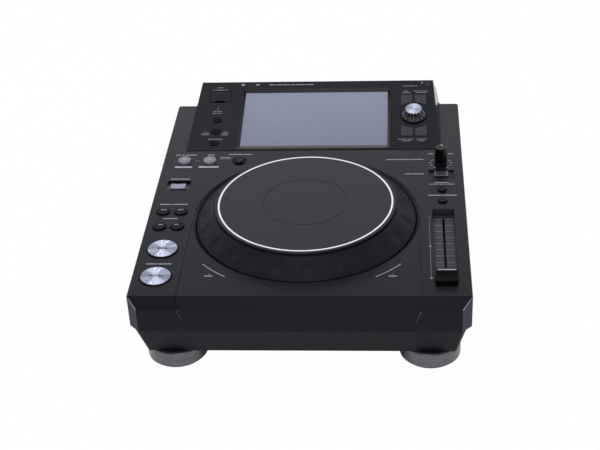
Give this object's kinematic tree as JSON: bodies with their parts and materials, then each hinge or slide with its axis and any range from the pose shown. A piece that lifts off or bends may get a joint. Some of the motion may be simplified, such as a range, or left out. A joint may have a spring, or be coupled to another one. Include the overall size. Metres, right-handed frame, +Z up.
{
  "type": "dj media player",
  "caption": "Tabletop dj media player with a large scalloped jog wheel, a tilted touch screen, transport keys, a selector knob and a tempo fader on a wedge-sided case with round feet",
  "frame": {"origin": "on the floor, under the middle of the player's bounding box", "axes": "+X to the player's right seen from the user, +Y from the user to the rear sockets, +Z up"},
  "size_m": [0.306, 0.388, 0.1057],
  "materials": {
    "deck_plastic": "satin",
    "tray_paint": "satin",
    "foot_plastic": "satin",
    "screw_steel": "satin",
    "unit_plastic": "semi-gloss",
    "frame_plastic": "gloss",
    "screen_glass": "gloss",
    "socket_metal": "satin",
    "audio_metal": "polished",
    "black_plastic": "satin",
    "board_fibre": "satin",
    "bearing_bronze": "satin",
    "fader_grey": "satin",
    "shaft_steel": "satin",
    "jog_black": "satin",
    "jog_top_paint": "painted, satin",
    "ring_white": "gloss",
    "key_black": "satin",
    "key_grey": "satin",
    "key_smoke": "semi-gloss",
    "lever_lilac": "satin",
    "key_silver": "spun"
  },
  "bodies": {
    "case": {"top_case": "deck_plastic", "bottom_case": "tray_paint", "feet": "foot_plastic", "case_screws": "screw_steel", "screen_housing": "unit_plastic", "screen_frame": "frame_plastic", "touch_screen": "screen_glass", "rear_panel": "tray_paint", "lan_socket": "socket_metal", "usb_device_socket": "socket_metal", "audio_sockets": "audio_metal", "power_inlet": "black_plastic", "usb_port": "socket_metal", "main_board": "board_fibre", "power_board": "board_fibre", "key_boards": "board_fibre", "key_switches": "black_plastic", "jog_base": "black_plastic", "jog_bearing": "bearing_bronze", "jog_sensor": "black_plastic", "fader_plate": "fader_grey", "fader_unit": "socket_metal", "speed_pot": "black_plastic", "selector_encoder": "socket_metal", "direction_switch": "black_plastic"},
    "jog": {"jog_skirt": "jog_black", "jog_shaft": "shaft_steel", "jog_code_disc": "shaft_steel"},
    "jog_top": {"jog_plate": "jog_top_paint", "jog_ring": "ring_white"},
    "cue": {"cue_button": "key_black", "cue_cap": "key_silver"},
    "play": {"play_button": "key_black", "play_cap": "key_silver"},
    "track_back": {"track_back_button": "key_black"},
    "track_next": {"track_next_button": "key_black"},
    "search_back": {"search_back_button": "key_black"},
    "search_next": {"search_next_button": "key_black"},
    "loop_in": {"loop_in_button": "key_grey"},
    "loop_out": {"loop_out_button": "key_grey"},
    "loop_exit": {"loop_exit_button": "key_black"},
    "jog_mode": {"jog_mode_button": "key_smoke"},
    "tempo_range": {"tempo_range_button": "key_black"},
    "master_tempo": {"master_tempo_button": "key_black"},
    "usb_stop": {"usb_stop_button": "key_black"},
    "time_mode": {"time_mode_button": "key_black"},
    "quantize": {"quantize_button": "key_black"},
    "browse_1": {"browse_key_1": "key_smoke"},
    "browse_2": {"browse_key_2": "key_smoke"},
    "browse_3": {"browse_key_3": "key_smoke"},
    "browse_4": {"browse_key_4": "key_smoke"},
    "power": {"power_button": "black_plastic"},
    "direction": {"direction_lever": "lever_lilac"},
    "speed": {"speed_knob": "black_plastic"},
    "fader": {"fader_lever": "shaft_steel", "fader_cap": "black_plastic"},
    "selector": {"selector_shaft": "shaft_steel"},
    "selector_top": {"selector_knob": "key_black", "selector_cap": "key_silver"},
    "flap": {"usb_flap": "unit_plastic"}
  },
  "joints": [
    {"name": "jog_spin", "type": "hinge", "parent": "case", "child": "jog", "pos_m": [0, -0.0566, 0.09], "axis": [0, 0, 1], "continuous": true},
    {"name": "jog_press", "type": "slide", "parent": "jog", "child": "jog_top", "axis": [0, 0, -1], "range_m": [0, 0.0005], "stiffness_N_per_m": 3000, "springref_m": -0.0015},
    {"name": "cue_press", "type": "slide", "parent": "case", "child": "cue", "axis": [0, 0, -1], "range_m": [0, 0.0012], "stiffness_N_per_m": 500, "springref_m": -0.002},
    {"name": "play_press", "type": "slide", "parent": "case", "child": "play", "axis": [0, 0, -1], "range_m": [0, 0.0012], "stiffness_N_per_m": 500, "springref_m": -0.002},
    {"name": "track_back_press", "type": "slide", "parent": "case", "child": "track_back", "axis": [0, 0, -1], "range_m": [0, 0.0012], "stiffness_N_per_m": 500, "springref_m": -0.002},
    {"name": "track_next_press", "type": "slide", "parent": "case", "child": "track_next", "axis": [0, 0, -1], "range_m": [0, 0.0012], "stiffness_N_per_m": 500, "springref_m": -0.002},
    {"name": "search_back_press", "type": "slide", "parent": "case", "child": "search_back", "axis": [0, 0, -1], "range_m": [0, 0.0012], "stiffness_N_per_m": 500, "springref_m": -0.002},
    {"name": "search_next_press", "type": "slide", "parent": "case", "child": "search_next", "axis": [0, 0, -1], "range_m": [0, 0.0012], "stiffness_N_per_m": 500, "springref_m": -0.002},
    {"name": "loop_in_press", "type": "slide", "parent": "case", "child": "loop_in", "axis": [0, 0, -1], "range_m": [0, 0.0012], "stiffness_N_per_m": 500, "springref_m": -0.002},
    {"name": "loop_out_press", "type": "slide", "parent": "case", "child": "loop_out", "axis": [0, 0, -1], "range_m": [0, 0.0012], "stiffness_N_per_m": 500, "springref_m": -0.002},
    {"name": "loop_exit_press", "type": "slide", "parent": "case", "child": "loop_exit", "axis": [0, 0, -1], "range_m": [0, 0.0012], "stiffness_N_per_m": 500, "springref_m": -0.002},
    {"name": "jog_mode_press", "type": "slide", "parent": "case", "child": "jog_mode", "axis": [0, 0, -1], "range_m": [0, 0.0012], "stiffness_N_per_m": 500, "springref_m": -0.002},
    {"name": "tempo_range_press", "type": "slide", "parent": "case", "child": "tempo_range", "axis": [0, 0, -1], "range_m": [0, 0.0012], "stiffness_N_per_m": 500, "springref_m": -0.002},
    {"name": "master_tempo_press", "type": "slide", "parent": "case", "child": "master_tempo", "axis": [0, 0, -1], "range_m": [0, 0.0012], "stiffness_N_per_m": 500, "springref_m": -0.002},
    {"name": "usb_stop_press", "type": "slide", "parent": "case", "child": "usb_stop", "axis": [0, 0.2045, -0.9789], "range_m": [0, 0.0012], "stiffness_N_per_m": 500, "springref_m": -0.002},
    {"name": "time_mode_press", "type": "slide", "parent": "case", "child": "time_mode", "axis": [0, 0.2045, -0.9789], "range_m": [0, 0.0012], "stiffness_N_per_m": 500, "springref_m": -0.002},
    {"name": "quantize_press", "type": "slide", "parent": "case", "child": "quantize", "axis": [0, 0.2045, -0.9789], "range_m": [0, 0.0012], "stiffness_N_per_m": 500, "springref_m": -0.002},
    {"name": "browse_1_press", "type": "slide", "parent": "case", "child": "browse_1", "axis": [0, 0.2045, -0.9789], "range_m": [0, 0.0012], "stiffness_N_per_m": 500, "springref_m": -0.002},
    {"name": "browse_2_press", "type": "slide", "parent": "case", "child": "browse_2", "axis": [0, 0.2045, -0.9789], "range_m": [0, 0.0012], "stiffness_N_per_m": 500, "springref_m": -0.002},
    {"name": "browse_3_press", "type": "slide", "parent": "case", "child": "browse_3", "axis": [0, 0.2045, -0.9789], "range_m": [0, 0.0012], "stiffness_N_per_m": 500, "springref_m": -0.002},
    {"name": "browse_4_press", "type": "slide", "parent": "case", "child": "browse_4", "axis": [0, 0.2045, -0.9789], "range_m": [0, 0.0012], "stiffness_N_per_m": 500, "springref_m": -0.002},
    {"name": "power_press", "type": "slide", "parent": "case", "child": "power", "axis": [0, -1, 0], "range_m": [0, 0.0025], "stiffness_N_per_m": 500, "springref_m": -0.002},
    {"name": "direction_slide", "type": "slide", "parent": "case", "child": "direction", "axis": [1, 0, 0], "range_m": [-0.003, 0.003]},
    {"name": "speed_turn", "type": "hinge", "parent": "case", "child": "speed", "pos_m": [0.131, 0.0405, 0.0825], "axis": [0, 0, 1], "range_deg": [-140, 140]},
    {"name": "fader_slide", "type": "slide", "parent": "case", "child": "fader", "axis": [0, 1, 0], "range_m": [0, 0.1]},
    {"name": "selector_turn", "type": "hinge", "parent": "case", "child": "selector", "pos_m": [0.1046, 0.12077, 0.09385], "axis": [0, -0.2045, 0.9789], "continuous": true},
    {"name": "selector_press", "type": "slide", "parent": "selector", "child": "selector_top", "axis": [0, 0.2045, -0.9789], "range_m": [0, 0.0008], "stiffness_N_per_m": 800, "springref_m": -0.002},
    {"name": "flap_hinge", "type": "hinge", "parent": "case", "child": "flap", "pos_m": [-0.104, 0.1609, 0.1008], "axis": [-1, 0, 0], "range_deg": [0, 95]}
  ]
}
